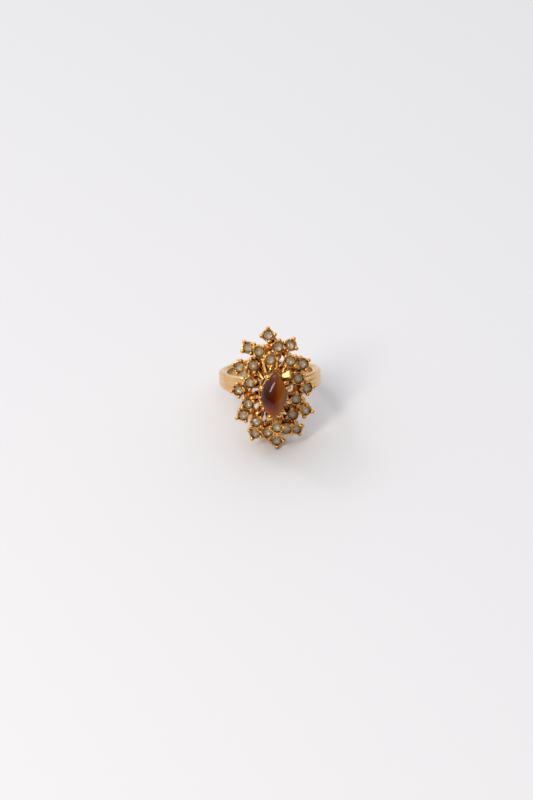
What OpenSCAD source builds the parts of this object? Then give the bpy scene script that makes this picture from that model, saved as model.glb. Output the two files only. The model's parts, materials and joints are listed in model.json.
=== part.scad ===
// Openwork cluster ring: a domed spray of claw-set round stones about a raised
// navette cabochon, on a three-ridged band. The ring lies on its face edge and
// the back of the band, as it is put down on a table. The origin is the centre
// of the finger hole.

/* [Band] */
// Inside diameter of the band, the finger size
bore_d = 17.3; // [14:0.1:22]
// Thickness of the band over its ridges
band_t = 1.7; // [1.4:0.1:2.2]
// Thickness of the flat wall inside the ridges
band_wall = 0.9; // [0.8:0.05:1.1]
// Width of the flat wall inside the ridges
band_inner_w = 2.5; // [1.8:0.1:2.6]
// Radius of each rounded ridge
ridge_r = 0.62; // [0.5:0.02:0.7]
// Distance between neighbouring ridges halfway up the band
ridge_gap = 0.95; // [0.8:0.05:1.1]
// How far the outer ridges spread for each millimetre towards the shoulders
ridge_spread = 0.036; // [0:0.002:0.05]
// Half angle of the opening under the head, where the shoulders stop
shoulder_angle = 33; // [28:1:38]

/* [Gallery] */
// Thickness of the saddle-shaped lower gallery over the finger
gallery_t = 0.75; // [0.65:0.05:1.1]
// Thickness of the flat upper gallery that ties the middle stems
upper_t = 0.6; // [0.5:0.05:0.8]
// Width of the gallery's bars
bar_w = 0.9; // [0.7:0.05:1.2]
// Radius of the galleries' pads round each stem
pad_r = 0.72; // [0.6:0.02:0.8]
// Gap between the lower gallery and the sides of the shoulders
side_gap = 0.25; // [0.15:0.05:0.5]
// Gap between the lower gallery and the finger
finger_gap = 0.2; // [0:0.05:0.3]

/* [Small stones and their cups] */
// Diameter of each small round stone
stone_d = 1.8; // [1.5:0.05:2.2]
// Wall of a cup beside its stone
cup_wall = 0.3; // [0.25:0.01:0.4]
// Height of a cup below the stone's girdle
cup_h = 1.15; // [1:0.05:1.3]
// Radius of the stem under each cup
stem_r = 0.36; // [0.3:0.02:0.44]
// Distance of each claw beyond the edge of its stone
claw_gap = 0.52; // [0.48:0.01:0.56]
// Radius of the round bead on each claw
claw_bead_r = 0.3; // [0.25:0.01:0.34]

/* [Centre stone] */
// Length of the navette cabochon
navette_l = 9.2; // [7.6:0.1:11.2]
// Width of the navette cabochon
navette_w = 5; // [4.2:0.1:6]
// Height of the cabochon's dome above its girdle
navette_h = 2.2; // [1.6:0.1:2.4]
// How far the navette leans to the right
navette_lean = 6; // [0:1:10]
// Radius of the claw wires about the cabochon
wire_r = 0.36; // [0.3:0.02:0.42]

/* [Heights] */
// Height of the lowest stones' girdles above the finger
tier_rise = 2.3; // [2.25:0.05:3]
// Height of the two end stones above the lowest ones
end_rise = 4.8; // [4.4:0.1:5.4]
// Height of the cabochon's girdle above the lowest stones
navette_rise = 5.9; // [5.6:0.1:6.6]
// How far the outer cups tilt away from the centre
outer_tilt = 16; // [8:1:20]
// How far the other cups tilt away from the centre
inner_tilt = 8; // [4:1:12]

/* [Hidden] */
$fn = 48;
fine = 96;
eps = 0.02;

bore_r = bore_d / 2;
tier_n = bore_r + tier_rise;
band_r = bore_r + band_t;
ridge_path_r = band_r - ridge_r;
gallery_in = bore_r + finger_gap;
gallery_out = gallery_in + gallery_t;
socket_r = (gallery_in + gallery_out) / 2;
stone_r = stone_d / 2;
rim_r = stone_r + cup_wall;
rim_h = 0.1;
crown_h = 0.32;
table_r = 0.58 * stone_r;
pavilion_h = 0.72 * stone_r;
foot_r = 0.62;
claw_reach = stone_r + claw_gap;

// Half of the spray: across, along the finger, rise, and the claws' turn.
// The other half is the same turned half round. The places are drawn for
// 1.8 mm stones about a 9.2 by 5 mm navette, and spread with those sizes.
drawn_stone_d = 1.8;
drawn_navette = [5, 9.2];
cup_room = 1;
spray_room = 9;
stone_grow = (stone_d + cup_room) / (drawn_stone_d + cup_room);
across_grow = stone_grow * (navette_w + spray_room) / (drawn_navette[0] + spray_room);
along_grow = stone_grow * (navette_l + spray_room) / (drawn_navette[1] + spray_room);
OUTER = [
    [-0.6, 10.7, 0.0, 2],
    [3.7, 8.8, 1.0, 60],
    [6.0, 5.0, 1.3, 28],
    [6.75, 0.0, 0.6, 8],
    [6.45, -4.6, 0.4, 75],
    [4.6, -8.4, 0.2, 30]
];
MIDDLE = [
    [1.25, 8.6, 1.5, 75],
    [3.5, 6.0, 3.0, 45],
    [5.0, 2.4, 2.5, 30],
    [4.55, -1.8, 2.4, 5],
    [3.8, -5.1, 1.7, 15],
    [2.5, -7.9, 2.0, 48]
];
END = [[-0.45, 6.8, end_rise, 5]];
// How far along the cabochon its claws stand, from the middle
CLAW_STATIONS = [for (k = [-0.37, -0.16, 0.16, 0.37]) k * navette_l];

// What a setting needs: where the girdle is, which way it tilts, its tilt and turn
function turned(p) = [-p[0], -p[1], p[2], p[3]];
function both(list) = concat(list, [for (p = list) turned(p)]);
function spaced(list) = [for (p = list) [across_grow * p[0], along_grow * p[1], p[2], p[3]]];
outer = both(spaced(OUTER));
middle = both(spaced(MIDDLE));
end = both(spaced(END));
function way(p) = atan2(p[1], p[0]);
function girdle(p) = [p[0], p[1], tier_n + p[2]];
function foot(p, tilt) = girdle(p) - cup_h * [
    sin(tilt) * cos(way(p)), sin(tilt) * sin(way(p)), cos(tilt)
];
function saddle(r, x) = sqrt(r * r - x * x);
function on_shoulder(f) =
    abs(f[1]) < ridge_gap + ridge_r && abs(f[0]) > gallery_out * sin(shoulder_angle);
function stem_end(f) = saddle(on_shoulder(f) ? band_r - 0.75 * ridge_r : socket_r, f[0]);
outer_feet = [for (p = outer) foot(p, outer_tilt)];
middle_feet = [for (p = middle) foot(p, inner_tilt)];
end_feet = [for (p = end) foot(p, inner_tilt)];
all_feet = concat(outer_feet, middle_feet, end_feet);

upper_n = gallery_out + 0.75;
navette_arc_r = (navette_l * navette_l + navette_w * navette_w) / (4 * navette_w);
navette_off = navette_arc_r - navette_w / 2;
navette_n = tier_n + navette_rise;
girdle_t = 0.25;
function arch_r(half, rise) = (half * half + rise * rise) / (2 * rise);
collet_wall = 0.4;
collet_h = 1.3;
collet_lip = 0.2;
seat_in = 0.45;
basket_drop = 3.2;
basket_t = 0.55;
claw_out = 0.2;
claw_feet_spread = 1.1;
// A place on the right side of the navette, some way out from its girdle
function navette_side(along, out) = let (a = asin(along / navette_arc_r)) [
    (navette_arc_r + out) * cos(a) - navette_off, (navette_arc_r + out) * sin(a)
];
function leaned(c) = [
    c[0] * cos(navette_lean) + c[1] * sin(navette_lean),
    c[1] * cos(navette_lean) - c[0] * sin(navette_lean)
];
right_claws = [for (v = CLAW_STATIONS) navette_side(v, claw_out)];
claw_tops = [for (side = [-1, 1]) for (c = right_claws) leaned(side * c)];
claw_feet = [for (c = claw_tops) claw_feet_spread * c];

function gap(a, b) = norm([a[0] - b[0], a[1] - b[1]]);
function nearest(p, list) = let (
    gaps = [for (q = list) gap(p, q)],
    least = min(gaps)
) [for (i = [0:len(list) - 1]) if (gaps[i] == least) list[i]][0];

// How the ring lies: on the bead of the end setting and the band's back edge
bead_up = 0.22;
spread = asin(ridge_spread);
back_u = ridge_gap - ridge_path_r * sin(spread);
back_n = ridge_path_r * cos(spread);
end_u = outer[0][1] + claw_reach * cos(outer_tilt) + bead_up * sin(outer_tilt);
end_n = girdle(outer[0])[2] - claw_reach * sin(outer_tilt) + bead_up * cos(outer_tilt);
rest_span = norm([end_u - back_u, end_n + back_n]);
lie_angle = atan2(end_u - back_u, end_n + back_n) - asin((ridge_r - claw_bead_r) / rest_span);

function two(i) = i < 10 ? str("0", i) : str(i);
OUTER_SETTINGS = [for (i = [1:12]) str("outer_setting_", two(i))];
OUTER_STONES = [for (i = [1:12]) str("outer_stone_", two(i))];
MIDDLE_SETTINGS = [for (i = [1:12]) str("middle_setting_", two(i))];
MIDDLE_STONES = [for (i = [1:12]) str("middle_stone_", two(i))];
END_SETTINGS = ["end_setting_1", "end_setting_2"];
END_STONES = ["end_stone_1", "end_stone_2"];

// From the ring's own axes (across, along the finger, up through the head) to how it lies
module lying() {
    rotate([90 - lie_angle, 0, 0]) children();
}

// A straight round rod between two points, with a radius at each
module rod(a, b, ra, rb) {
    d = b - a;
    translate(a)
        rotate([0, atan2(norm([d[0], d[1]]), d[2]), atan2(d[1], d[0])])
            cylinder(r1 = ra, r2 = rb, h = norm(d));
}

// A cylinder about the finger's axis
module finger_cylinder(r, l) {
    rotate([90, 0, 0]) cylinder(r = r, h = l, center = true, $fn = fine);
}

// The sector under the head, out to a radius beyond the ring
module head_sector(angle) {
    far = 2 * band_r;
    rotate([90, 0, 0])
        linear_extrude(height = 4 * band_r, center = true)
            polygon([[0, 0], [far * sin(angle), far * cos(angle)], [-far * sin(angle), far * cos(angle)]]);
}

module ridge(offset, lean) {
    translate([0, offset, 0]) rotate([90 + lean, 0, 0])
        rotate_extrude($fn = fine) translate([ridge_path_r, 0]) circle(r = ridge_r);
}

module shank() {
    color("#d8b47a") lying() difference() {
        union() {
            finger_cylinder(bore_r + band_wall, band_inner_w);
            ridge(0, 0);
            ridge(ridge_gap, -spread);
            ridge(-ridge_gap, spread);
        }
        finger_cylinder(bore_r, 2 * band_inner_w);
        head_sector(shoulder_angle);
        for (f = outer_feet) if (on_shoulder(f)) stem(f);
    }
}

// The stem under a cup, from its socket up into the cup's foot
module stem(f) {
    translate([f[0], f[1], stem_end(f)]) cylinder(r = stem_r, h = f[2] - stem_end(f) + 0.25);
}

module bar(a, b) {
    d = [b[0] - a[0], b[1] - a[1]];
    translate([a[0], a[1]]) rotate(atan2(d[1], d[0])) translate([0, -bar_w / 2]) square([norm(d), bar_w]);
}

module pad(p, r) {
    translate([p[0], p[1]]) circle(r = r);
}

// A closed loop of bars under the middle cups, with a pad round each stem
module middle_loop() {
    for (i = [0:11]) bar(middle_feet[i], middle_feet[(i + 1) % 12]);
    for (f = middle_feet) pad(f, pad_r);
}

module lower_lace() {
    middle_loop();
    for (f = concat(outer_feet, end_feet)) {
        bar(f, nearest(f, middle_feet));
        pad(f, pad_r);
    }
    for (c = claw_feet) {
        bar(c, nearest(c, middle_feet));
        pad(c, wire_r + 0.25);
    }
}

module lower_gallery() {
    shoulder_u = ridge_gap + ridge_path_r * ridge_spread + ridge_r + side_gap;
    color("#c98a3c") lying() difference() {
        intersection() {
            difference() {
                finger_cylinder(gallery_out, 4 * band_r);
                finger_cylinder(gallery_in, 5 * band_r);
            }
            linear_extrude(height = 2 * band_r) lower_lace();
        }
        difference() {
            cube([4 * band_r, 2 * shoulder_u, 4 * band_r], center = true);
            head_sector(shoulder_angle);
        }
        for (f = all_feet) if (!on_shoulder(f)) stem(f);
        for (i = [0:7]) claw_leg(i);
    }
}

module upper_gallery() {
    color("#c98a3c") lying() difference() {
        translate([0, 0, upper_n]) linear_extrude(height = upper_t) {
            middle_loop();
            for (f = end_feet) {
                bar(f, nearest(f, middle_feet));
                pad(f, pad_r);
            }
        }
        for (f = concat(middle_feet, end_feet)) stem(f);
    }
}

// A round stone: table and crown above the girdle, pointed below it
module round_stone() {
    cylinder(r1 = stone_r, r2 = table_r, h = crown_h);
    translate([0, 0, -pavilion_h]) cylinder(r1 = 0.04, r2 = stone_r, h = pavilion_h);
}

module in_place(p, tilt) {
    translate(girdle(p)) rotate([0, 0, way(p)]) rotate([0, tilt, 0]) rotate([0, 0, p[3] - way(p)])
        children();
}

// A flared cup with four lobes, a bead claw on each, and its stem
module setting(p, f, tilt) {
    color("#c8862f") lying() {
        in_place(p, tilt) difference() {
            union() {
                translate([0, 0, -cup_h]) cylinder(r1 = foot_r, r2 = rim_r, h = cup_h + rim_h);
                for (k = [0:3]) rotate(90 * k) {
                    rod([0.45, 0, -0.85 * cup_h], [claw_reach - 0.08, 0, 0.08], 0.28, 0.36);
                    translate([claw_reach, 0, bead_up]) sphere(r = claw_bead_r);
                }
            }
            round_stone();
            cylinder(r = stone_r, h = 1);
        }
        stem(f);
    }
}

module gem(p, tilt) {
    color("#cdb9a0") lying() in_place(p, tilt) round_stone();
}

// A navette outline as a solid, grown by one distance below and another above
module navette_solid(grow1, grow2, h) {
    intersection_for (s = [-1, 1])
        translate([s * navette_off, 0, 0])
            cylinder(r1 = navette_arc_r + grow1, r2 = navette_arc_r + grow2, h = h, $fn = fine);
}

// The wire under one claw of the cabochon, from the lower gallery up to its girdle
module claw_leg(i) {
    a = claw_feet[i];
    b = claw_tops[i];
    rod([a[0], a[1], saddle(socket_r, a[0])], [b[0], b[1], navette_n], wire_r, wire_r);
}

// The collet, the basket wire halfway down, and eight claws on their legs
module centre_setting() {
    color("#c8862f") lying() difference() {
        union() {
            translate([0, 0, navette_n - collet_h]) rotate(-navette_lean) difference() {
                navette_solid(0, collet_wall, collet_h + collet_lip);
                translate([0, 0, -eps]) navette_solid(-0.9, -seat_in, 2 * collet_h);
            }
            translate([0, 0, navette_n - basket_drop]) rotate(-navette_lean) difference() {
                navette_solid(collet_wall, collet_wall, basket_t);
                translate([0, 0, -eps]) navette_solid(-0.3, -0.3, 2 * basket_t);
            }
            for (i = [0:7]) {
                claw_leg(i);
                translate([claw_tops[i][0], claw_tops[i][1], navette_n + 0.3]) sphere(r = 0.45);
            }
        }
        cabochon_body();
    }
}

// A round bar whose top is at the cabochon's crown
module crown_bar(half, l) {
    r = arch_r(half, navette_h);
    translate([0, 0, girdle_t + navette_h - r]) rotate([90, 0, 0])
        cylinder(r = r, h = l, center = true, $fn = fine);
}

// A domed navette: its outline under an arch across it and an arch along it
module cabochon_body() {
    translate([0, 0, navette_n]) rotate(-navette_lean) intersection() {
        navette_solid(0, 0, girdle_t + navette_h);
        crown_bar(navette_w / 2, 2 * navette_l);
        rotate(90) crown_bar(navette_l / 2, 2 * navette_w);
    }
}

module centre_cabochon() {
    color("#6b2c08") lying() cabochon_body();
}

shank();
lower_gallery();
upper_gallery();
centre_setting();
centre_cabochon();
for (i = [0:11]) {
    setting(outer[i], outer_feet[i], outer_tilt);
    gem(outer[i], outer_tilt);
    setting(middle[i], middle_feet[i], inner_tilt);
    gem(middle[i], inner_tilt);
}
for (i = [0:1]) {
    setting(end[i], end_feet[i], inner_tilt);
    gem(end[i], inner_tilt);
}
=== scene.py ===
import json
import math
import random

import bpy
from mathutils import Matrix, Vector


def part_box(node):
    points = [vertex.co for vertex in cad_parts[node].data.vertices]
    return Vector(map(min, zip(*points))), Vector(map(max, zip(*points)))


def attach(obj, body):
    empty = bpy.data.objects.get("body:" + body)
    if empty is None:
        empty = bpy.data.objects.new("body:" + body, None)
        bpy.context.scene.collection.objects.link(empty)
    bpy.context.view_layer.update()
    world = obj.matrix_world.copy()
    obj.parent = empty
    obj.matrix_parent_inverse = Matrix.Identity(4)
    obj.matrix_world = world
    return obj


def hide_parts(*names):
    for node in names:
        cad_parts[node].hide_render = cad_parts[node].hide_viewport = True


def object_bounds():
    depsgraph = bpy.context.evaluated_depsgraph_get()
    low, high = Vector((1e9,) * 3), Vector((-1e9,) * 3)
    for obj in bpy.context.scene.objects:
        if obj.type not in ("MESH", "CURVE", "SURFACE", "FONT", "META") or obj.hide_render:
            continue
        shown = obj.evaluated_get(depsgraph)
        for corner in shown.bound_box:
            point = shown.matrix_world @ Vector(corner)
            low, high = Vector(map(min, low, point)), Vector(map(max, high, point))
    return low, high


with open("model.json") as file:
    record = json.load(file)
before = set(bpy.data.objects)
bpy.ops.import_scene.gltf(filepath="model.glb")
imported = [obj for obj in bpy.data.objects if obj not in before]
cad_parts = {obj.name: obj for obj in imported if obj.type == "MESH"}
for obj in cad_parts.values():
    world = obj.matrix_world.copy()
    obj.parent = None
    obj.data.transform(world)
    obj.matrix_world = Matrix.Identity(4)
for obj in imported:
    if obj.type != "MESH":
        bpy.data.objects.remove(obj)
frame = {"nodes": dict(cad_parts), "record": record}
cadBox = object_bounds()  # the CAD model's box, before any new piece

mm = 0.001
fingerBore = frame["record"]["mounts"][0]
across = Vector((1, 0, 0))
along = Vector(fingerBore["axis"]).normalized()  # along the finger
headUp = across.cross(along)  # from the finger out through the head
ringFrame = Matrix((across, along, headUp)).transposed().to_4x4()  # the ring's own axes to the table's
boreRadius = fingerBore["dims"]["r_mm"] * mm
random.seed(26)


def deselectAll():
    if bpy.context.mode != "OBJECT":
        bpy.ops.object.mode_set(mode="OBJECT")
    bpy.ops.object.select_all(action="DESELECT")


def activate(*pieces):
    deselectAll()
    for piece in pieces:
        piece.select_set(True)
    bpy.context.view_layer.objects.active = pieces[0]


def newest(name):
    piece = bpy.context.object
    piece.name = name
    piece.data.name = name
    return piece


def applyModifier(piece, kind, **settings):
    activate(piece)
    modifier = piece.modifiers.new(kind.title(), kind)
    for key, value in settings.items():
        setattr(modifier, key, value)
    bpy.ops.object.modifier_apply(modifier=modifier.name)


def joined(name, pieces):
    activate(*pieces)
    bpy.ops.object.join()
    return newest(name)


def tidyNormals(piece, weld=1e-7):
    activate(piece)
    bpy.ops.object.mode_set(mode="EDIT")
    bpy.ops.mesh.select_all(action="SELECT")
    bpy.ops.mesh.remove_doubles(threshold=weld)
    bpy.ops.mesh.normals_make_consistent(inside=False)
    bpy.ops.object.mode_set(mode="OBJECT")


def selectFaces(piece, test):  # in edit mode after this, with the faces that pass the test selected
    activate(piece)
    bpy.ops.object.mode_set(mode="EDIT")
    bpy.ops.mesh.select_mode(type="FACE")
    bpy.ops.mesh.select_all(action="DESELECT")
    bpy.ops.object.mode_set(mode="OBJECT")
    for face in piece.data.polygons:
        face.select = test(face)
    bpy.ops.object.mode_set(mode="EDIT")


def moveMesh(piece, matrix):
    piece.data.transform(matrix)
    piece.data.update()


def rod(a, b, radiusA, radiusB, sides=20):  # a tapered round rod between two points
    a, b = Vector(a), Vector(b)
    turn = (b - a).to_track_quat("Z", "Y")
    deselectAll()
    bpy.ops.mesh.primitive_cone_add(
        vertices=sides, radius1=radiusA, radius2=radiusB, depth=(b - a).length,
        location=(a + b) / 2, rotation=turn.to_euler())
    bpy.ops.object.transform_apply(location=True, rotation=True, scale=True)
    return bpy.context.object


def pip(place, radii, turn=(0, 0, 0)):  # a rounded lump of metal
    deselectAll()
    bpy.ops.mesh.primitive_uv_sphere_add(segments=20, ring_count=12, radius=1, location=place, rotation=turn)
    bpy.context.object.scale = radii
    bpy.ops.object.transform_apply(location=True, rotation=True, scale=True)
    return bpy.context.object


def castTogether(piece, grain, softening):  # melts overlapping solids into one cast skin
    applyModifier(piece, "REMESH", mode="VOXEL", voxel_size=grain, adaptivity=0)
    applyModifier(piece, "SMOOTH", factor=0.5, iterations=softening)
    piece.data.polygons.foreach_set("use_smooth", [True] * len(piece.data.polygons))


def castCopy(node, name):  # a copy of a CAD node's mesh, welded into one skin
    deselectAll()
    piece = bpy.data.objects.new(name, frame["nodes"][node].data.copy())
    bpy.context.scene.collection.objects.link(piece)
    piece.data.materials.clear()
    tidyNormals(piece, weld=1e-6)
    return piece


def finishPiece(piece, node, slot, *materials):
    piece.data.materials.clear()
    for material in materials:
        piece.data.materials.append(material)
    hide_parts(node)
    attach(piece, "root")


def hexColour(code):  # an sRGB hex value as the linear colour a shader takes
    channels = [int(code[i:i + 2], 16) / 255 for i in (1, 3, 5)]
    return [c / 12.92 if c <= 0.04045 else ((c + 0.055) / 1.055) ** 2.4 for c in channels] + [1]


def addNode(tree, kind, settings=None, links=None):  # one shader node, its settings and what feeds it
    node = tree.nodes.new(kind)
    for key, value in (settings or {}).items():
        if isinstance(key, int) or key in node.inputs:
            node.inputs[key].default_value = value
        else:
            setattr(node, key, value)
    for key, source in (links or {}).items():
        tree.links.new(source, node.inputs[key])
    return node


def newMaterial(name, **settings):
    material = bpy.data.materials.new(name)
    material.use_nodes = True
    tree = material.node_tree
    tree.nodes.clear()
    shader = addNode(tree, "ShaderNodeBsdfPrincipled", settings)
    addNode(tree, "ShaderNodeOutputMaterial", links={"Surface": shader.outputs["BSDF"]})
    return material, tree, shader


def plateToneAndPaintedShade(tree, shader, place, plate):  # cloudy gold with painted shade: an occlusion mask darkens the recesses; gives how open each point is
    clouds = addNode(tree, "ShaderNodeTexNoise", {"Scale": 1 / (plate["cloudMm"] * mm), "Detail": 3.0},
                     {"Vector": place})
    tone = addNode(tree, "ShaderNodeMixRGB",
                   {"Color1": hexColour(plate["worn"]), "Color2": hexColour(plate["bright"])},
                   {"Fac": clouds.outputs["Fac"]})
    # painted shade: ambient occlusion darkens hollows and grooves towards the darkest colour
    paintedShadeOcclusion = addNode(tree, "ShaderNodeAmbientOcclusion", {"Distance": plate["paintedShadeReachMm"] * mm, "samples": 6})
    darkest, clear = plate["paintedShadeAoRange"]
    openness = addNode(tree, "ShaderNodeMapRange", {"From Min": darkest, "From Max": clear},
                       {"Value": paintedShadeOcclusion.outputs["AO"]})
    colour = addNode(tree, "ShaderNodeMixRGB", {"Color1": hexColour(plate["paintedShadeColour"])},
                     {"Fac": openness.outputs["Result"], "Color2": tone.outputs["Color"]})
    tree.links.new(colour.outputs["Color"], shader.inputs["Base Color"])
    return openness.outputs["Result"]


def fineRelief(tree, shader, noise, strength, depthMm):
    bump = addNode(tree, "ShaderNodeBump", {"Strength": strength, "Distance": depthMm * mm},
                   {"Height": noise.outputs["Fac"]})
    tree.links.new(bump.outputs["Normal"], shader.inputs["Normal"])


def castGoldPlate():
    # gold plate over a cast brass head: mirror-like on the beads, duller in the recesses, which painted shade
    # darkens to a warm dark brown
    plate = {
        # the darkest colour below is painted shade, laid into the hollows by an occlusion mask
        "bright": "#f8c878", "worn": "#cc7e2e", "paintedShadeColour": "#3c1604", "cloudMm": 1.6,
        "paintedShadeReachMm": 0.9, "paintedShadeAoRange": (0.42, 0.92), "recessRoughness": 0.3, "openRoughness": 0.12,
        "skinMm": 0.22, "skinStrength": 0.12, "skinDepthMm": 0.02,
    }
    material, tree, shader = newMaterial("castGoldPlate", Metallic=1.0, Roughness=0.16)
    place = addNode(tree, "ShaderNodeTexCoord").outputs["Object"]
    openness = plateToneAndPaintedShade(tree, shader, place, plate)
    dull = addNode(tree, "ShaderNodeMapRange",
                   {"To Min": plate["recessRoughness"], "To Max": plate["openRoughness"]},
                   {"Value": openness})
    tree.links.new(dull.outputs["Result"], shader.inputs["Roughness"])
    skin = addNode(tree, "ShaderNodeTexNoise", {"Scale": 1 / (plate["skinMm"] * mm), "Detail": 2.0},
                   {"Vector": place})
    fineRelief(tree, shader, skin, plate["skinStrength"], plate["skinDepthMm"])
    return material


def polishedGoldPlate():
    # the same plate buffed on the band: paler, with faint buffing lines round the finger, and painted shade
    # darkening its grooves
    plate = {
        # the darkest colour below is painted shade, laid into the grooves by an occlusion mask
        "bright": "#f0cc98", "worn": "#d8a868", "paintedShadeColour": "#7c5426", "cloudMm": 2.5,
        "paintedShadeReachMm": 0.5, "paintedShadeAoRange": (0.35, 0.8),
        "lineMm": 0.2, "lineStretch": 8, "lineStrength": 0.08, "lineDepthMm": 0.01,
    }
    material, tree, shader = newMaterial("polishedGoldPlate", Metallic=1.0, Roughness=0.1)
    place = addNode(tree, "ShaderNodeTexCoord").outputs["Object"]
    plateToneAndPaintedShade(tree, shader, place, plate)
    turned = addNode(tree, "ShaderNodeMapping", {
        "vector_type": "TEXTURE", "Rotation": ringFrame.to_euler(),
        "Scale": (plate["lineStretch"], 1, plate["lineStretch"])}, {"Vector": place})
    lines = addNode(tree, "ShaderNodeTexNoise", {"Scale": 1 / (plate["lineMm"] * mm), "Detail": 2.0},
                    {"Vector": turned.outputs["Vector"]})
    fineRelief(tree, shader, lines, plate["lineStrength"], plate["lineDepthMm"])
    return material


def pasteGlass():
    # lead-glass paste, cut and polished: clear champagne glass that bends what is behind it
    material, tree, shader = newMaterial(
        "pasteGlass", **{"Transmission Weight": 1.0, "Roughness": 0.05, "IOR": 1.55})
    place = addNode(tree, "ShaderNodeTexCoord").outputs["Object"]
    haze = addNode(tree, "ShaderNodeTexNoise", {"Scale": 1 / (0.7 * mm), "Detail": 2.0}, {"Vector": place})
    tint = addNode(tree, "ShaderNodeMixRGB", {"Color1": hexColour("#f4e9d8"), "Color2": hexColour("#fffaf2")},
                   {"Fac": haze.outputs["Fac"]})
    tree.links.new(tint.outputs["Color"], shader.inputs["Base Color"])
    return material


def agedFoil():
    # the lacquered foil behind a paste stone, gone grey-gold in patches with age
    material, tree, shader = newMaterial("agedFoil", Metallic=0.45, Roughness=0.3)
    place = addNode(tree, "ShaderNodeTexCoord").outputs["Object"]
    patches = addNode(tree, "ShaderNodeTexNoise", {"Scale": 1 / (0.35 * mm), "Detail": 3.0},
                      {"Vector": place})
    spread = addNode(tree, "ShaderNodeMapRange", {"From Min": 0.35, "From Max": 0.65},
                     {"Value": patches.outputs["Fac"]})
    tone = addNode(tree, "ShaderNodeMixRGB", {"Color1": hexColour("#e2cca8"), "Color2": hexColour("#fff2dc")},
                   {"Fac": spread.outputs["Result"]})
    tree.links.new(tone.outputs["Color"], shader.inputs["Base Color"])
    return material


def tigersEye(stoneFrame, halfLength, halfWidth):
    # polished tiger's eye: silky parallel fibres in brown quartz, dark on one side and amber on the other
    eye = {
        "fibreMm": 0.16, "sway": 0.22, "redFoot": "#a04a14",
        "bands": [(0.0, "#34140c"), (0.28, "#401202"), (0.42, "#501600"), (0.62, "#783400"),
                  (0.82, "#945004"), (0.97, "#602a04")],
    }
    material, tree, shader = newMaterial(
        "tigersEye", **{"Roughness": 0.06, "IOR": 1.5, "Specular IOR Level": 0.28})
    place = addNode(tree, "ShaderNodeTexCoord").outputs["Object"]
    own = addNode(tree, "ShaderNodeMapping", {
        "vector_type": "TEXTURE", "Location": stoneFrame.translation,
        "Rotation": stoneFrame.to_euler(), "Scale": (halfWidth, halfLength, halfWidth)}, {"Vector": place})
    axes = addNode(tree, "ShaderNodeSeparateXYZ", links={"Vector": own.outputs["Vector"]})
    across01 = addNode(tree, "ShaderNodeMapRange", {"From Min": -1.0, "From Max": 1.0},
                       {"Value": axes.outputs["X"]})
    waver = addNode(tree, "ShaderNodeTexNoise", {"Scale": 1.1, "Detail": 2.0},
                    {"Vector": own.outputs["Vector"]})
    sway = addNode(tree, "ShaderNodeMapRange", {"To Min": -eye["sway"], "To Max": eye["sway"]},
                   {"Value": waver.outputs["Fac"]})
    drift = addNode(tree, "ShaderNodeMath", {"operation": "ADD"},
                    {0: across01.outputs["Result"], 1: sway.outputs["Result"]})
    bands = addNode(tree, "ShaderNodeValToRGB", links={"Fac": drift.outputs["Value"]})
    ramp = bands.color_ramp
    ramp.interpolation = "EASE"
    ramp.elements[0].color = hexColour(eye["bands"][0][1])
    ramp.elements[1].position, ramp.elements[1].color = eye["bands"][-1][0], hexColour(eye["bands"][-1][1])
    for position, tone in eye["bands"][1:-1]:
        ramp.elements.new(position).color = hexColour(tone)
    stretch = addNode(tree, "ShaderNodeMapping", {
        "Scale": (halfWidth / (eye["fibreMm"] * mm), 0.8, 1.5)}, {"Vector": own.outputs["Vector"]})
    fibres = addNode(tree, "ShaderNodeTexNoise", {"Scale": 1.0, "Detail": 3.0},
                     {"Vector": stretch.outputs["Vector"]})
    silk = addNode(tree, "ShaderNodeMapRange",
                   {"From Min": 0.35, "From Max": 0.7, "To Min": 0.85, "To Max": 1.2},
                   {"Value": fibres.outputs["Fac"]})
    foot = addNode(tree, "ShaderNodeMapRange", {"From Min": -0.25, "From Max": -1.0},
                   {"Value": axes.outputs["Y"]})
    warmFoot = addNode(tree, "ShaderNodeMixRGB", {"Color2": hexColour(eye["redFoot"])},
                       {"Fac": foot.outputs["Result"], "Color1": bands.outputs["Color"]})
    colour = addNode(tree, "ShaderNodeVectorMath", {"operation": "MULTIPLY"},
                     {0: warmFoot.outputs["Color"], 1: silk.outputs["Result"]})
    tree.links.new(colour.outputs["Vector"], shader.inputs["Base Color"])
    return material


def flatFaces(node):  # the largest group of a node's faces that look the same way
    groups = {}
    for face in frame["nodes"][node].data.polygons:
        key = tuple(round(c, 2) + 0.0 for c in face.normal)
        groups.setdefault(key, []).append(face)
    return max(groups.values(), key=lambda faces: sum(face.area for face in faces))


def middleOf(faces):
    area = sum(face.area for face in faces)
    return sum((face.center * face.area for face in faces), Vector()) / area


def placed(origin, x, z):  # the frame at origin with this z, and x as near as it can be
    x = (x - x.dot(z) * z).normalized()
    return Matrix.Translation(origin) @ Matrix((x, z.cross(x), z)).transposed().to_4x4()


def stonePlace(stone, setting):  # girdle centre, the stone's own up, and the way its claws are turned
    table = flatFaces(stone)
    up = sum((face.normal * face.area for face in table), Vector()).normalized()
    top = middleOf(table)
    widest, girdleHeight = 0, 0
    for vertex in frame["nodes"][stone].data.vertices:
        height = (vertex.co - top).dot(up)
        radius = (vertex.co - top - height * up).length
        if radius > widest + 1e-7:
            widest, girdleHeight = radius, height
    plain = placed(top + girdleHeight * up, across, up)
    back = plain.inverted()
    turns = [0, 0]
    beadsOnly = 0.4 * mm  # above the girdle, where only the claw beads reach
    for vertex in frame["nodes"][setting].data.vertices:
        point = back @ vertex.co
        if point.z > beadsOnly:
            angle = 4 * math.atan2(point.y, point.x)
            turns[0] += math.cos(angle)
            turns[1] += math.sin(angle)
    return plain @ Matrix.Rotation(math.atan2(turns[1], turns[0]) / 4, 4, "Z"), widest


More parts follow.
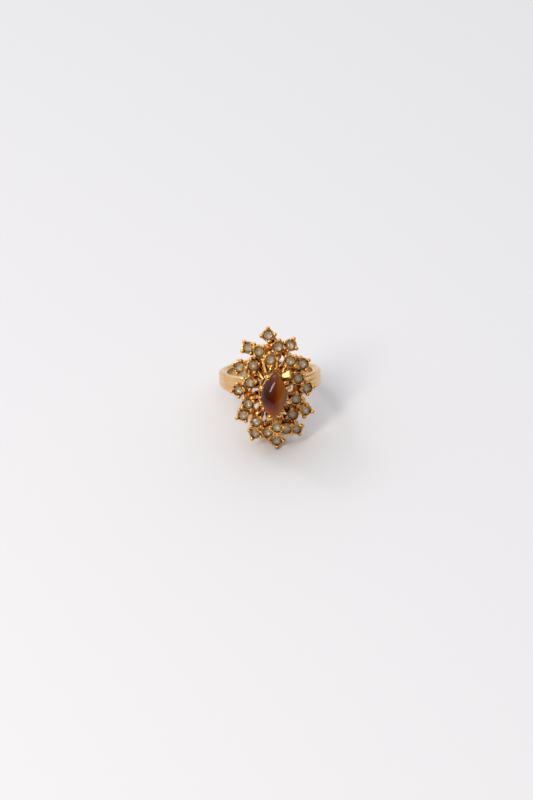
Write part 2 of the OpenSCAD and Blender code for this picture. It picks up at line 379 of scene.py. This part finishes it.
def stemFoot(setting):  # the middle of the lower end of a cup's stem
    vertices = [vertex.co for vertex in frame["nodes"][setting].data.vertices]
    lowest = min(point.dot(headUp) for point in vertices)
    ends = [point for point in vertices if point.dot(headUp) < lowest + 1e-5]
    return sum(ends, Vector()) / len(ends)


bandShape = {
    "ridgeRadius": 0.62 * mm, "ridgeGap": 0.95 * mm, "innerHalf": 1.25 * mm, "cornerRound": 0.12 * mm,
    "flank": math.radians(-62), "ridgePoints": 12, "shoulder": math.radians(33), "steps": 132,
    "spread": 0.036, "spreadDepth": 0.6 * mm, "edgeRound": 0.12 * mm,
}


def bandSection():  # the band's outline as (out from the finger's axis, along it), round the section
    shape = bandShape
    low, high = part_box("shank")
    ridgePath = (high.x - low.x) / 2 - shape["ridgeRadius"]
    meet = math.acos(shape["ridgeGap"] / 2 / shape["ridgeRadius"])  # where neighbouring ridges cross

    def arc(centre, start, end):
        for i in range(shape["ridgePoints"] + 1):
            angle = start + (end - start) * i / shape["ridgePoints"]
            yield (ridgePath + shape["ridgeRadius"] * math.sin(angle),
                   centre + shape["ridgeRadius"] * math.cos(angle))

    corner, half = shape["cornerRound"], shape["innerHalf"]
    outline = [(boreRadius, corner - half), (boreRadius, 0), (boreRadius, half - corner),
               (boreRadius + corner, half)]
    outline += arc(shape["ridgeGap"], shape["flank"], math.pi - meet)
    outline += list(arc(0, meet, math.pi - meet))[1:]
    outline += list(arc(-shape["ridgeGap"], meet, math.pi - shape["flank"]))[1:]
    outline += [(boreRadius + corner, -half)]
    return outline


def makeBand(metal):
    shape = bandShape
    outline = bandSection()
    deselectAll()
    bpy.ops.mesh.primitive_circle_add(vertices=len(outline), radius=mm, fill_type="NGON")
    band = newest("threeRidgeBand")
    start = Matrix.Rotation(shape["shoulder"], 4, "Y")  # from under the head to the first shoulder
    for vertex, (out, side) in zip(band.data.vertices, outline):
        vertex.co = start @ Vector((0, side, out))
    activate(band)
    bpy.ops.object.mode_set(mode="EDIT")
    bpy.ops.mesh.select_all(action="SELECT")
    bpy.ops.mesh.spin(steps=shape["steps"], angle=2 * shape["shoulder"] - 2 * math.pi,
                      center=(0, 0, 0), axis=(0, 1, 0))
    bpy.ops.object.mode_set(mode="OBJECT")
    for vertex in band.data.vertices:  # the outer ridges draw apart towards the shoulders
        out = math.hypot(vertex.co.x, vertex.co.z)
        outwards = min(1, max(0, (out - boreRadius) / shape["spreadDepth"]))
        share = min(1, abs(vertex.co.y) / shape["ridgeGap"]) * outwards
        vertex.co.y += math.copysign(share, vertex.co.y) * shape["spread"] * vertex.co.z
    tidyNormals(band)
    applyModifier(band, "BEVEL", width=shape["edgeRound"], segments=3,
                  limit_method="ANGLE", angle_limit=math.radians(75))
    moveMesh(band, ringFrame)
    activate(band)
    bpy.ops.object.shade_smooth_by_angle(angle=math.radians(35))
    finishPiece(band, "shank", "band_gold", metal)


galleryShape = {"grain": 0.07 * mm, "softening": 5, "lowerFuller": 0.04 * mm, "upperFuller": 0.15 * mm}


def makeGallery(node, name, metal, fuller, extras=()):  # fuller: how much plate and polish thicken it
    lace = castCopy(node, name)
    if extras:
        lace = joined(name, [lace, *extras])
    castTogether(lace, galleryShape["grain"], galleryShape["softening"])
    applyModifier(lace, "DISPLACE", strength=fuller, mid_level=0)
    finishPiece(lace, node, "head_gold", metal)


def wire(points, radius):  # a round wire through points, with rounded ends
    line = bpy.data.curves.new("wire", "CURVE")
    line.dimensions = "3D"
    line.bevel_depth = radius
    line.bevel_resolution = 4
    line.use_fill_caps = True
    spline = line.splines.new("POLY")
    spline.points.add(len(points) - 1)
    for point, place in zip(spline.points, points):
        point.co = (*place, 1)
    piece = bpy.data.objects.new("wire", line)
    bpy.context.scene.collection.objects.link(piece)
    activate(piece)
    bpy.ops.object.convert(target="MESH")
    return [bpy.context.object, pip(points[0], [radius] * 3), pip(points[-1], [radius] * 3)]


def bowed(a, b, sag, steps=5):  # points on an arc from a to b that sags towards the finger
    a, b = Vector(a), Vector(b)
    return [a.lerp(b, i / steps) - headUp * sag * 4 * (i / steps) * (1 - i / steps) for i in range(steps + 1)]


branchShape = {
    "wire": 0.4 * mm, "waist": -1.15 * mm, "sag": 0.45 * mm, "hubDown": 3.0 * mm, "leafMm": (1.1, 0.78, 0.3),
}


def cupWaist(cup):
    return cup["place"] @ Vector((0, 0, branchShape["waist"]))


def makeBranches(cups, hub, halfLength, halfWidth):  # the cast arms that carry the cups out from the basket
    shape = branchShape
    middle = [cup for cup in cups if cup["row"] != "outer"]
    pieces = []
    for cup in cups:
        waist = cupWaist(cup)
        if cup["row"] == "outer":
            start = min((cupWaist(other) for other in middle), key=lambda point: (point - waist).length)
        else:
            flat = hub.inverted() @ waist
            grown = math.hypot(flat.x / halfWidth, flat.y / halfLength)
            start = hub @ Vector((flat.x / grown, flat.y / grown, -shape["hubDown"]))
        line = bowed(start, waist, shape["sag"])
        pieces += wire(line, shape["wire"])
        leaf = line[len(line) // 2]
        turn = placed(leaf, (waist - start).normalized(), headUp)
        petal = pip((0, 0, 0), [r * mm for r in shape["leafMm"]])
        moveMesh(petal, turn)
        pieces.append(petal)
    return pieces


cupShape = {  # heights are above the stone's girdle
    "foot": 0.76 * mm, "rim": 1.28 * mm, "height": 1.15 * mm, "rimUp": 0.1 * mm,
    "well": 0.96 * mm, "wellDepth": 0.5 * mm, "lobeOut": 1.0 * mm, "lobeUp": -0.14 * mm,
    "lobeMm": (0.5, 0.56, 0.48), "clawOut": 1.33 * mm, "clawUp": 0.24 * mm, "bead": 0.43 * mm,
    "beadSquash": 0.95, "clawRoot": 0.36 * mm, "rootOut": 0.5 * mm, "rootShare": -0.8,
    "clawNeck": 0.27 * mm, "neckIn": 0.06 * mm, "neckDown": 0.1 * mm,
    "stem": 0.38 * mm, "stemInside": 0.35 * mm, "stemFlare": 0.41 * mm, "flareRise": 0.5 * mm,
    "turnPlay": (-0.07, 0.07), "outPlay": (-0.05, 0.03), "upPlay": (-0.06, 0.04), "beadPlay": (0.92, 1.06),
    "grain": 0.055 * mm, "softening": 2,
}


def makeCup(node, name, place, metal):
    shape = cupShape
    deselectAll()
    bpy.ops.mesh.primitive_cone_add(vertices=40, radius1=shape["foot"], radius2=shape["rim"],
                                    depth=shape["height"] + shape["rimUp"],
                                    location=(0, 0, (shape["rimUp"] - shape["height"]) / 2))
    bpy.ops.object.transform_apply(location=True, rotation=True, scale=True)
    cup = bpy.context.object
    parts = [cup]
    for quarter in range(4):
        turn = Matrix.Rotation(quarter * math.pi / 2 + random.uniform(*shape["turnPlay"]), 4, "Z")
        out = shape["clawOut"] + random.uniform(*shape["outPlay"]) * mm
        up = shape["clawUp"] + random.uniform(*shape["upPlay"]) * mm
        bead = shape["bead"] * random.uniform(*shape["beadPlay"])
        root = turn @ Vector((shape["rootOut"], 0, shape["rootShare"] * shape["height"]))
        neck = turn @ Vector((out - shape["neckIn"], 0, up - shape["neckDown"]))
        parts.append(rod(root, neck, shape["clawRoot"], shape["clawNeck"]))
        parts.append(pip(turn @ Vector((shape["lobeOut"], 0, shape["lobeUp"])),
                         [r * mm for r in shape["lobeMm"]], turn.to_euler()))
        parts.append(pip(turn @ Vector((out, 0, up)), (bead, bead, bead * shape["beadSquash"])))
    foot = place.inverted() @ stemFoot(node)
    top = Vector((0, 0, -shape["height"] + shape["stemInside"]))
    flareTop = foot + (top - foot) * min(1, shape["flareRise"] / (top - foot).length)
    parts.append(rod(foot, top, shape["stem"], shape["stem"]))
    parts.append(rod(foot, flareTop, shape["stemFlare"], shape["stem"]))
    parts.append(pip(foot, [shape["stemFlare"]] * 3))
    cup = joined(name, parts)
    castTogether(cup, shape["grain"], shape["softening"])
    deselectAll()
    drillLength = 2 * mm
    bpy.ops.mesh.primitive_cylinder_add(vertices=48, radius=shape["well"], depth=drillLength,
                                        location=(0, 0, drillLength / 2 - shape["wellDepth"]))
    drill = bpy.context.object
    applyModifier(cup, "BOOLEAN", operation="DIFFERENCE", object=drill, solver="MANIFOLD")
    bpy.data.objects.remove(drill)
    moveMesh(cup, place)
    for vertex in cup.data.vertices:  # the lowest claws stand on the table
        vertex.co.z = max(vertex.co.z, cadBox[0].z)
    activate(cup)
    bpy.ops.object.shade_smooth_by_angle(angle=math.radians(50))
    finishPiece(cup, node, "head_gold", metal)


stoneShape = {  # heights and radii as shares of the stone's radius, like a small brilliant
    "girdle": 0.965, "girdleHalf": 0.03, "kite": (0.8, 0.2), "table": (0.56, 0.34),
    "lower": (0.46, -0.36), "culet": -0.5,
}


def makeStone(node, name, place, radius, glass, foil):
    shape = stoneShape
    rings = [
        (16, shape["girdle"], shape["girdleHalf"], 0), (16, shape["girdle"], -shape["girdleHalf"], 0),
        (8, *shape["kite"], 0), (8, *shape["table"], 0.5), (8, *shape["lower"], 0),
        (3, 0.02, shape["culet"], 0),
    ]
    rounds = []
    for count, out, up, turn in rings:
        deselectAll()
        bpy.ops.mesh.primitive_circle_add(vertices=count, radius=out * radius, location=(0, 0, up * radius),
                                          rotation=(0, 0, turn * 2 * math.pi / count))
        bpy.ops.object.transform_apply(location=True, rotation=True, scale=True)
        rounds.append(bpy.context.object)
    stone = joined(name, rounds)
    activate(stone)
    bpy.ops.object.mode_set(mode="EDIT")
    bpy.ops.mesh.select_all(action="SELECT")
    bpy.ops.mesh.convex_hull()
    bpy.ops.mesh.select_all(action="SELECT")
    bpy.ops.mesh.dissolve_limited(angle_limit=math.radians(0.5))
    bpy.ops.object.mode_set(mode="OBJECT")
    tidyNormals(stone)
    finishPiece(stone, node, "champagne_glass", glass, foil)
    for face in stone.data.polygons:  # the foil lies behind, on the faces that look down
        face.material_index = 1 if face.normal.z < -0.1 else 0
    moveMesh(stone, place @ Matrix.Rotation(random.uniform(0, math.pi / 4), 4, "Z"))


def cabochonPlace():
    base = flatFaces("centre_cabochon")
    middle = middleOf(base)
    vertices = [vertex.co - middle for vertex in frame["nodes"]["centre_cabochon"].data.vertices]
    tip = max(vertices, key=lambda v: v.length)
    if tip.dot(along) < 0:
        tip = -tip
    tip = tip - tip.dot(headUp) * headUp
    place = placed(middle, tip.cross(headUp), headUp)
    back = place.to_3x3().inverted()
    own = [back @ v for v in vertices]
    return place, max(v.y for v in own), max(v.x for v in own), max(v.z for v in own)


cabochonShape = {"cut": -0.1, "edgeHeight": 0.2 * mm}  # where the unit ball is cut, and the upright edge


def makeCabochon(place, halfLength, halfWidth, height, stone):
    shape = cabochonShape
    arcRadius = (halfLength ** 2 + halfWidth ** 2) / (2 * halfWidth)
    offset = arcRadius - halfWidth
    deselectAll()
    bpy.ops.mesh.primitive_uv_sphere_add(segments=128, ring_count=64, radius=1)
    gem = newest("navetteCabochon")
    activate(gem)
    bpy.ops.object.mode_set(mode="EDIT")
    bpy.ops.mesh.select_all(action="SELECT")
    bpy.ops.mesh.bisect(plane_co=(0, 0, shape["cut"]), plane_no=(0, 0, -1),
                        use_fill=True, clear_outer=True)
    bpy.ops.object.mode_set(mode="OBJECT")
    for vertex in gem.data.vertices:
        x, y, z = vertex.co
        out = math.hypot(x, y)
        angle = math.atan2(y, abs(x))
        edge = -offset * math.cos(angle) + math.sqrt(arcRadius ** 2 - (offset * math.sin(angle)) ** 2)
        x = math.copysign(out * edge * math.cos(angle), x)
        y = out * edge * math.sin(angle)
        vertex.co = (x, y, max(z, shape["cut"]) * (height - shape["edgeHeight"]) + shape["edgeHeight"])
    tidyNormals(gem)
    moveMesh(gem, place)
    activate(gem)
    bpy.ops.object.shade_smooth_by_angle(angle=math.radians(60))
    finishPiece(gem, "centre_cabochon", "tigers_eye", stone)


basketShape = {  # heights are above the stone's base
    "seatWire": 0.3 * mm, "seatShare": 0.9, "seatUp": -0.2 * mm,
    "hubWire": 0.34 * mm, "hubShare": 1.02, "hubUp": -3.0 * mm,
    "leg": 0.34 * mm, "legTop": 0.98, "legSpread": 1.12, "legSeat": 0.6 * mm,
    "clawWire": 0.7, "clawRise": 0.42 * mm, "tipRise": 0.2 * mm, "foldReach": 0.55 * mm,
    "clawHead": (1.15, 0.95, 0.88), "headBack": 0.45, "grain": 0.06 * mm, "softening": 2,
}

clawPlan = [  # side, share of the half length, mm outside the stone, bead size in mm, how far it folds in
    (-1, 0.74, 0.38, 0.64, 0.4), (-1, 0.27, 0.28, 0.6, 0.38),
    (-1, -0.36, 0.4, 0.58, 0.38), (-1, -0.93, 0.5, 0.7, 0.9),
    (1, 0.56, 0.6, 0.5, 0.34), (1, 0.34, 0.62, 0.5, 0.46),
    (1, -0.16, 0.28, 0.54, 0.4), (1, -0.64, 0.42, 0.6, 0.4), (1, -0.8, 0.44, 0.6, 0.45),
]

tabPlan = {  # the broad claw's flat shoulder with its arm and brace, in mm in the stone's own frame
    "place": (2.1, 4.1, -0.05), "size": (1.75, 1.55, 0.7), "faceWay": (-0.4, -0.16, 0.9),
    "inset": 0.2, "insetRise": 0.12, "edgeRound": 0.06, "neckDown": 0.5,
    "armWire": 0.42, "arm": [(1.55, 3.3, -3.0), (2.3, 4.2, -2.1)],
    "braceWire": 0.3, "brace": [(1.5, 3.7, -0.5), (1.2, 3.3, 0.1)],
}


def navettePoint(side, share, out, halfLength, halfWidth):  # out from the stone's edge, in its own frame
    arcRadius = (halfLength ** 2 + halfWidth ** 2) / (2 * halfWidth)
    angle = math.asin(share * halfLength / arcRadius)
    return Vector((side * ((arcRadius + out) * math.cos(angle) - arcRadius + halfWidth),
                   (arcRadius + out) * math.sin(angle), 0))


def navetteLoop(grow, halfLength, halfWidth, height, steps=14):  # a closed loop like the stone's edge
    rightSide = [navettePoint(1, -1 + 2 * i / steps, 0, halfLength, halfWidth) for i in range(steps + 1)]
    loop = rightSide + [Vector((-p.x, p.y, 0)) for p in reversed(rightSide[1:-1])]
    return [Vector((p.x * grow, p.y * grow, height)) for p in loop + loop[:1]]


def makeBasket(place, halfLength, halfWidth, metal):
    shape, tab = basketShape, tabPlan
    seat = navetteLoop(shape["seatShare"], halfLength, halfWidth, shape["seatUp"])
    hub = navetteLoop(shape["hubShare"], halfLength, halfWidth, shape["hubUp"])
    pieces = wire(seat, shape["seatWire"]) + wire(hub, shape["hubWire"])
    legRadius = boreRadius + shape["legSeat"]  # the legs end on a round about the finger
    legCrown = place.inverted() @ (ringFrame @ Vector((0, 0, legRadius)))
    for side, share, out, bead, fold in clawPlan:
        edge = navettePoint(side, share, 0, halfLength, halfWidth)
        top = navettePoint(side, share, out * mm, halfLength, halfWidth)
        inwards = (edge - top).normalized()
        knee = top + Vector((0, 0, shape["clawRise"]))
        tipHeight = shape["clawRise"] + shape["tipRise"]
        tip = edge + inwards * (fold * shape["foldReach"]) + Vector((0, 0, tipHeight))
        legTop = Vector((top.x * shape["legTop"], top.y * shape["legTop"], shape["hubUp"]))
        pieces += wire([legTop, top, knee, tip], shape["clawWire"] * bead * mm)
        head = pip((0, 0, 0), [bead * size * mm for size in shape["clawHead"]])
        moveMesh(head, placed(tip.lerp(knee, shape["headBack"]), inwards, Vector((0, 0, 1))))
        pieces.append(head)
        foot = shape["legSpread"] * Vector((top.x, top.y, 0))
        sideways = (place @ foot).x
        foot.z = legCrown.z - (legRadius - math.sqrt(legRadius ** 2 - sideways ** 2))
        pieces.append(rod(foot, legTop, shape["leg"], shape["leg"]))
    neck = Vector(tab["place"]) * mm - Vector((0, 0, tab["neckDown"] * mm))
    pieces += wire([*(Vector(point) * mm for point in tab["arm"]), neck], tab["armWire"] * mm)
    pieces += wire([neck, *(Vector(point) * mm for point in tab["brace"])], tab["braceWire"] * mm)
    basket = joined("centreBasket", pieces)
    castTogether(basket, shape["grain"], shape["softening"])
    moveMesh(basket, place)
    basket = joined("centreBasket", [basket, makeTab(place)])
    finishPiece(basket, "centre_setting", "head_gold", metal)


def makeTab(place):  # the broad claw's polished flat shoulder, up beyond the stone's right-hand tip
    deselectAll()
    bpy.ops.mesh.primitive_cube_add(size=1)
    tab = newest("tab")
    tab.scale = [size * mm for size in tabPlan["size"]]
    bpy.ops.object.transform_apply(location=True, rotation=True, scale=True)
    selectFaces(tab, lambda face: face.normal.z > 0.9)
    bpy.ops.mesh.inset(thickness=tabPlan["inset"] * mm, depth=tabPlan["insetRise"] * mm)
    bpy.ops.object.mode_set(mode="OBJECT")
    applyModifier(tab, "BEVEL", width=tabPlan["edgeRound"] * mm, segments=3,
                  limit_method="ANGLE", angle_limit=math.radians(20))
    centre = place @ (Vector(tabPlan["place"]) * mm)
    moveMesh(tab, placed(centre, across, Vector(tabPlan["faceWay"]).normalized()))
    activate(tab)
    bpy.ops.object.shade_smooth_by_angle(angle=math.radians(25))
    return tab


studio = {
    "azimuth": -2.98, "elevation": 41.91, "distance": 372.8 * mm, "lens": 85,
    "aim": (-1.27 * mm, -11.135 * mm, 3.546 * mm),
    "table": "#dadadc", "windowWay": (-0.2, 0.5, 0.8), "dimSide": 0.06, "brightSide": 1.24,
    "lights": [("window", (-0.55, 0.5, 0.7), (0.22, 0.22), 1.2, "#fdfdff"),
               ("lamp", (-0.32, -0.33, 0.44), (0.11, 0.3), 1.7, "#fff6ea")],
}


def setCamera():
    azimuth, elevation = math.radians(studio["azimuth"]), math.radians(studio["elevation"])
    back = Vector((math.sin(azimuth) * math.cos(elevation), -math.cos(azimuth) * math.cos(elevation),
                   math.sin(elevation)))
    camera = bpy.data.objects.new("camera", bpy.data.cameras.new("camera"))
    bpy.context.scene.collection.objects.link(camera)
    camera.data.lens = studio["lens"]
    camera.data.sensor_width = 36
    camera.data.clip_start, camera.data.clip_end = 0.01, 10
    camera.location = Vector(studio["aim"]) + back * studio["distance"]
    camera.rotation_euler = (-back).to_track_quat("-Z", "Y").to_euler()
    bpy.context.scene.camera = camera


def softLight(name, place, aim, size, power, colour):
    light = bpy.data.objects.new(name, bpy.data.lights.new(name, "AREA"))
    bpy.context.scene.collection.objects.link(light)
    light.data.shape = "RECTANGLE"
    light.data.size, light.data.size_y = size
    light.data.energy = power
    light.data.color = hexColour(colour)[:3]
    light.location = place
    light.rotation_euler = (Vector(aim) - Vector(place)).to_track_quat("-Z", "Y").to_euler()


def lightRoom():  # a pale room whose window side is up to the left and behind, and whose front is dim
    room = bpy.data.worlds.new("room")
    bpy.context.scene.world = room
    room.use_nodes = True
    tree = room.node_tree
    tree.nodes.clear()
    way = addNode(tree, "ShaderNodeTexCoord").outputs["Generated"]
    towards = addNode(tree, "ShaderNodeVectorMath", {"operation": "DOT_PRODUCT",
                                                     1: Vector(studio["windowWay"]).normalized()}, {0: way})
    share = addNode(tree, "ShaderNodeMapRange", {
        "interpolation_type": "SMOOTHSTEP", "From Min": -0.4, "From Max": 0.95,
        "To Min": studio["dimSide"], "To Max": studio["brightSide"]}, {"Value": towards.outputs["Value"]})
    air = addNode(tree, "ShaderNodeBackground", {"Color": hexColour("#f6f6f9")},
                  {"Strength": share.outputs["Result"]})
    addNode(tree, "ShaderNodeOutputWorld", links={"Surface": air.outputs["Background"]})


def makeStudio():
    deselectAll()
    bpy.ops.mesh.primitive_plane_add(size=3, location=(0, 0, cadBox[0].z))
    table = newest("table")
    paint = newMaterial("paintedTable", Roughness=0.6, **{"Base Color": hexColour(studio["table"])})[0]
    table.data.materials.append(paint)
    lightRoom()
    for name, place, size, power, colour in studio["lights"]:
        softLight(name, place, (0, 0, 0), size, power, colour)
    bpy.context.scene.view_settings.view_transform = "Standard"


setCamera()
makeStudio()
print("studio set")

headMetal = castGoldPlate()
bandMetal = polishedGoldPlate()
paste = pasteGlass()
foil = agedFoil()

makeBand(bandMetal)
print("band made")

cups = []
for row, count in (("outer", 12), ("middle", 12), ("end", 2)):
    for number in range(1, count + 1):
        label = f"{number:02d}" if row != "end" else str(number)
        place, radius = stonePlace(f"{row}_stone_{label}", f"{row}_setting_{label}")
        cups.append({"row": row, "label": label, "place": place, "radius": radius})
for cup in cups:
    row, label = cup["row"], cup["label"]
    makeCup(f"{row}_setting_{label}", f"{row}Cup{label}", cup["place"], headMetal)
    makeStone(f"{row}_stone_{label}", f"{row}Paste{label}", cup["place"], cup["radius"], paste, foil)
print("cups and stones made")

place, halfLength, halfWidth, height = cabochonPlace()
makeCabochon(place, halfLength, halfWidth, height, tigersEye(place, halfLength, halfWidth))
makeBasket(place, halfLength, halfWidth, headMetal)
print("centre stone and basket made")

makeGallery("lower_gallery", "lowerLace", headMetal, galleryShape["lowerFuller"])
branches = makeBranches(cups, place, halfLength, halfWidth)
makeGallery("upper_gallery", "upperLace", headMetal, galleryShape["upperFuller"], branches)
print("galleries made")
